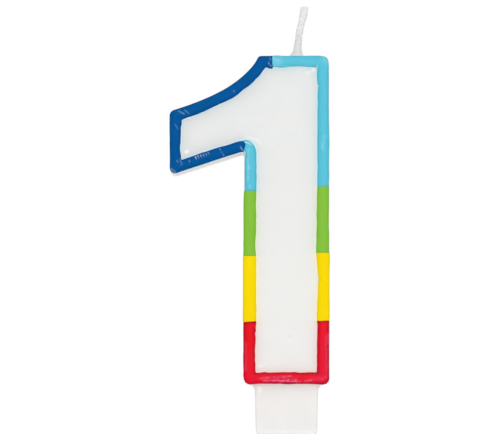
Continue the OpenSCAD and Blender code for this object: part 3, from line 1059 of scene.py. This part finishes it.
# wax that crept up the wick: height, reach to the right, to the left and to front and back
collar = {
    "rings": [
        (-0.9, 1.7, 2.8, 2.0), (0.0, 1.6, 2.4, 1.9), (0.3, 1.42, 1.95, 1.7), (0.6, 1.26, 1.55, 1.5),
        (0.9, 1.1, 1.28, 1.3), (1.2, 0.98, 1.06, 1.12), (1.5, 0.92, 0.93, 1.0), (1.8, 0.87, 0.85, 0.9),
        (2.4, 0.81, 0.77, 0.8), (3.0, 0.79, 0.75, 0.77), (3.7, 0.78, 0.75, 0.75), (4.1, 0.73, 0.71, 0.7),
        (4.3, 0.6, 0.6, 0.6), (4.4, 0.35, 0.35, 0.35),
    ],
    "sides": 40,
    "between": 4,
    "lump": 0.03,
    "ragged": 0.5,  # its upper edge, between these heights
    "raggedFrom": (2.6, 4.2),
}


def makeCollar():
    shape = np.array(collar["rings"])
    k = np.linspace(0, len(shape) - 1, (len(shape) - 1) * collar["between"] + 1)
    angles = np.linspace(0, 2 * np.pi, collar["sides"], endpoint=False)
    wave = np.sin(3 * angles + 1.2 * np.sin(angles) + 0.7)
    rings = []
    for z, right, left, deep in zip(*(np.interp(k, np.arange(len(shape)), column) for column in shape.T)):
        reachX = np.where(np.cos(angles) > 0, right, left)
        lump = 1 + collar["lump"] * waver2(angles / 1.1 + 3, np.full_like(angles, z * 1.3 + 9), 71)
        x = wickMiddle(topZ + z) + reachX * lump * np.cos(angles)
        high = topZ + z + collar["ragged"] * smoothStep(z, *collar["raggedFrom"]) * wave
        rings.append(columns(x, deep * lump * np.sin(angles), high))
    return ringSolid("waxCollar", rings)


def weldOn(piece, other):
    cut = piece.modifiers.new("weld", "BOOLEAN")
    cut.operation = "UNION"
    cut.solver = "EXACT"
    cut.object = other
    graph = bpy.context.evaluated_depsgraph_get()
    joined = bpy.data.meshes.new_from_object(piece.evaluated_get(graph))
    piece.modifiers.clear()
    piece.data = joined
    bpy.data.objects.remove(other)


# painted bounce light and painted shade on the wax along the paint, a painted highlight along its edges,
# painted highlights on lumps and glints, and painted light on faces turned down
def tintWax(mesh):
    points, ways = np.empty(3 * len(mesh.vertices)), np.empty(3 * len(mesh.vertices))
    mesh.vertices.foreach_get("co", points)
    mesh.vertices.foreach_get("normal", ways)
    points = points.reshape(-1, 3) / mm
    x, y, z = points.T
    tree = KDTree(len(paintEdges))
    for k, place in enumerate(paintEdges):
        tree.insert(place, k)
    tree.balance()
    hits = [tree.find(point) for point in points]
    gap = np.array([hit[2] for hit in hits])
    # painted bounce light and painted shade, close to the paint and a little further off
    stain = np.zeros_like(points)
    for key in ("stain", "shade"):
        lost = np.array([edgePaints[hit[1]][key] for hit in hits])
        stain = stain + lost * np.exp(-gap / castWax[key + "Reach"])[:, None]
    # painted highlights on the raised lumps and along the glints
    spots = lumpHeight(x, z)[1]
    for *stroke, strength in castWax["glints"]:
        spots = np.maximum(spots, strength * strokeMask(x, z, *stroke))
    spots = spots * (y < 0)
    onSide = smoothStep(y - panelY, *castWax["sideFrom"])
    # painted highlight: a pale line on the wax along the paint
    lipHighlight = np.exp(-((gap / castWax["lipW"]) ** 2)) * (1 - onSide)
    stain = stain * ((1 - spots) * (1 - castWax["plainSide"] * onSide * (z > underZ)))[:, None]
    # painted light on faces that turn down under the flag and on the foot's end, where shade falls
    down = (ways.reshape(-1, 3)[:, 2] < castWax["facingDown"]) & (z > root[1] - rimW * 3)
    under = np.maximum(down, smoothStep(z, *castWax["footEnd"]))
    gleam = np.maximum(np.maximum(lipHighlight, spots), castWax["underside"] * under)
    setValues(mesh, {"stain": stain, "gleam": gleam, "veil": smoothStep(z - topZ, *castWax["veilFrom"])})


candle = makeBody()
weldOn(candle, makeFoot())
weldOn(candle, makeCollar())
candle.data.name = "candleWax"
tintWax(candle.data)
dress(candle, 40, waxMaterial, "wax_body")
print("wax body cast:", len(candle.data.polygons), "faces")


cotton = {
    # painted shade: the grooves between the plies are given a darker colour
    "creaseShade": (0.79, 0.79, 0.775),
    "strand": (0.825, 0.825, 0.815),
    "fluff": (0.865, 0.865, 0.855),
    "grain": (0.9, 0.08),
    "bump": (0.6, 0.05),
    "roughness": 0.85,
    "sheen": 0.25,
    "specular": 0.2,
}


def makeCottonMaterial():
    material = bpy.data.materials.new("plaitedCotton")
    tree = freshTree(material)
    grain = addGrain(tree, *cotton["grain"])
    # painted shade in the grooves between the plies
    strand = mixColour(tree, readValue(tree, "ply"), cotton["creaseShade"], cotton["strand"])
    finishMaterial(tree, {
        "Base Color": mixColour(tree, grain["Cloud"], strand, cotton["fluff"]),
        "Roughness": cotton["roughness"],
        "Normal": bumpFrom(tree, grain["Grain"], *cotton["bump"]),
        "Sheen Weight": cotton["sheen"],
        "Specular IOR Level": cotton["specular"],
    })
    return material


# rings along given middles, with a radius for each ring and each side
def tubeRings(middles, radii):
    ways = np.gradient(middles, axis=0)
    ways /= np.linalg.norm(ways, axis=1, keepdims=True)
    across = np.cross([0.0, 1.0, 0.0], ways)
    across /= np.linalg.norm(across, axis=1, keepdims=True)
    deeper = np.cross(ways, across)
    angles = np.linspace(0, 2 * np.pi, radii.shape[1], endpoint=False)[None, :, None]
    ring = across[:, None] * np.cos(angles) + deeper[:, None] * np.sin(angles)
    return middles[:, None] + ring * radii[..., None]


def makeWick():
    tubes = []
    bottom, top = wick["openZ"] - wick["below"], wickHigh[2]
    z = np.linspace(bottom, top, round((top - bottom) / wick["ringStep"]) + 1)
    rise = np.clip((z - wick["openZ"]) / wick["length"], 0, 1)
    angles = np.linspace(0, 2 * np.pi, wick["sides"], endpoint=False)
    sleeveZ = topZ + wick["sleeve"]
    half = wick["openD"] / 2 * np.interp(rise, routeRises, wick["swell"])
    half = half * (wick["held"] + (1 - wick["held"]) * smoothStep(z, sleeveZ - 0.5, sleeveZ + 0.6))
    tipped = np.sqrt(np.clip((top - z) / wick["tip"], 0.05, 1))[:, None]
    for k in range(3):
        phase = 2 * np.pi * (z / wick["plait"] + k / 3)
        swayX, swayY = (wick["spread"][i] * half * np.sin((i + 1) * phase) for i in (0, 1))
        plies = np.cos(wick["plies"] * angles[None] + 2 * np.pi * z[:, None] / wick["plyTurn"])
        radii = (wick["strandR"] * half)[:, None] * (1 + wick["plyDepth"] * plies) * tipped
        tubes.append((columns(wickMiddle(z) + swayX, swayY, z), radii, 0.5 + 0.5 * plies))
    # plain core down inside the wax
    z = np.linspace(wickLow[2], bottom + 0.6, 14)
    radii = np.full((len(z), 12), wick["coreD"] / 2 * wick["coreShare"])
    tubes.append((columns(np.full_like(z, wick["x"]), 0 * z, z), radii, np.full_like(radii, 0.5)))
    # loose fibres on the open end
    draw = np.random.default_rng(11)
    out = wick["openD"] / 2 * 0.9
    t = np.linspace(-0.3, 1, 6)[:, None]
    radii = np.full((len(t), 4), wick["fibreR"])
    for _ in range(wick["fibres"]):
        height = max(top - draw.exponential(wick["fibreDrop"]), sleeveZ + 0.3)
        side, deep = wayOf(draw.uniform(0, 2 * np.pi))
        here = np.array([wickMiddle(height) + out * side, 0.75 * out * deep, height])
        way = np.array([0.6 * side, 0.6 * deep, draw.uniform(*wick["fibreRise"])])
        curl = draw.normal(0, wick["fibreCurl"], 3)
        centres = here + draw.uniform(*wick["fibreReach"]) * (way * t + curl * t * np.abs(t))
        centres[:, 2] = np.minimum(centres[:, 2], top + 0.05)
        tubes.append((centres, radii, np.ones_like(radii)))
    points, faces, values = [], [], []
    for centres, radii, value in tubes:
        addTube(points, faces, tubeRings(centres, radii))
        values.extend(value.ravel())
    return makePiece("candleWick", points, faces, {"ply": values})


wickPiece = makeWick()
dress(wickPiece, 60, makeCottonMaterial(), "wick")
print("wick plaited:", len(wickPiece.data.polygons), "faces")


stage = {
    "floorHalf": 3.0,
    "shadowFrom": 0.06,  # the floor turns plain white between these distances from the object
    "shadowTo": 0.3,
    "floorColour": (0.94, 0.94, 0.94),
    "floorLift": 0.4,
    "roomLight": 0.66,
}


def seenRays(tree):
    path = addNode(tree, "LightPath")
    direct = mathNode(tree, "MAXIMUM", path["Is Camera Ray"], path["Is Glossy Ray"])
    return mathNode(tree, "MAXIMUM", direct, path["Is Transmission Ray"])


def makeFloor():
    half = stage["floorHalf"] / mm
    corners = [(-half, -half, 0), (half, -half, 0), (half, half, 0), (-half, half, 0)]
    floor = makePiece("studioFloor", corners, [(0, 1, 2, 3)])
    material = bpy.data.materials.new("paleFloor")
    tree = freshTree(material)
    matte = addNode(tree, "BsdfDiffuse", {"Color": stage["floorColour"]})[0]
    lift = addNode(tree, "Emission", {"Strength": stage["floorLift"]})[0]
    white = addNode(tree, "Emission", {"Strength": 1.0})[0]
    lifted = addNode(tree, "AddShader", (matte, lift))[0]
    place = addNode(tree, "NewGeometry")["Position"]
    away = addNode(tree, "VectorMath", [place], operation="LENGTH")["Value"]
    far = mapValue(tree, away, stage["shadowFrom"], stage["shadowTo"], 0.0, 1.0)
    chosen = mixShader(tree, seenRays(tree), matte, mixShader(tree, far, lifted, white))
    addNode(tree, "OutputMaterial", {"Surface": chosen})
    floor.data.materials.append(material)


def makeWorld():
    world = bpy.data.worlds.new("studioRoom")
    bpy.context.scene.world = world
    tree = freshTree(world)
    room, white = (
        addNode(tree, "Background", {"Color": (1, 1, 1), "Strength": strength})[0]
        for strength in (stage["roomLight"], 1.0))
    addNode(tree, "OutputWorld", {"Surface": mixShader(tree, seenRays(tree), room, white)})


lamps = {
    "keySoftbox": {"at": (-0.05, -0.62, 0.5), "size": 0.45, "power": 0.82},
    "fillSoftbox": {"at": (0.06, -0.5, 0.06), "size": 0.3, "power": 0.84},
    "backSoftbox": {"at": (0.15, 0.7, 0.3), "size": 0.5, "power": 0.7},
}
aimPoint = Vector((0, 0, (underZ + topZ) / 2 * mm))


# a lamp or a camera at a spot, turned to a goal
def aimed(name, data, spot, goal):
    holder = bpy.data.objects.new(name, data)
    holder.location = spot
    holder.rotation_euler = (goal - Vector(spot)).to_track_quat("-Z", "Y").to_euler()
    bpy.context.scene.collection.objects.link(holder)
    return holder


def makeLamps():
    for name, lamp in lamps.items():
        light = bpy.data.lights.new(name, "AREA")
        light.size = lamp["size"]
        light.energy = lamp["power"]
        aimed(name, light, lamp["at"], aimPoint)


# low camera, level with the foot, as the photograph shows the flag's underside
camera = {
    "imageX": -7.39,  # middle of the image on the painted front, in the frame's own millimetres
    "imageZ": 43.43,
    "imageW": 101.19,
    "away": 650.0,
    "height": 3.2,
    "sensor": 36.0,
}


def makeCamera():
    front = panelY - rimH
    goal = Vector((camera["imageX"], front, camera["imageZ"])) * mm
    spot = Vector((camera["imageX"], front - camera["away"], camera["height"])) * mm
    data = bpy.data.cameras.new("photoCamera")
    data.sensor_width = camera["sensor"]
    data.lens = camera["sensor"] * (goal - spot).length / (camera["imageW"] * mm)
    data.clip_start = 0.01
    data.clip_end = 20
    bpy.context.scene.camera = aimed("photoCamera", data, spot, goal)


makeFloor()
makeWorld()
makeLamps()
makeCamera()
bpy.context.scene.view_settings.view_transform = "Standard"
print("stage set")
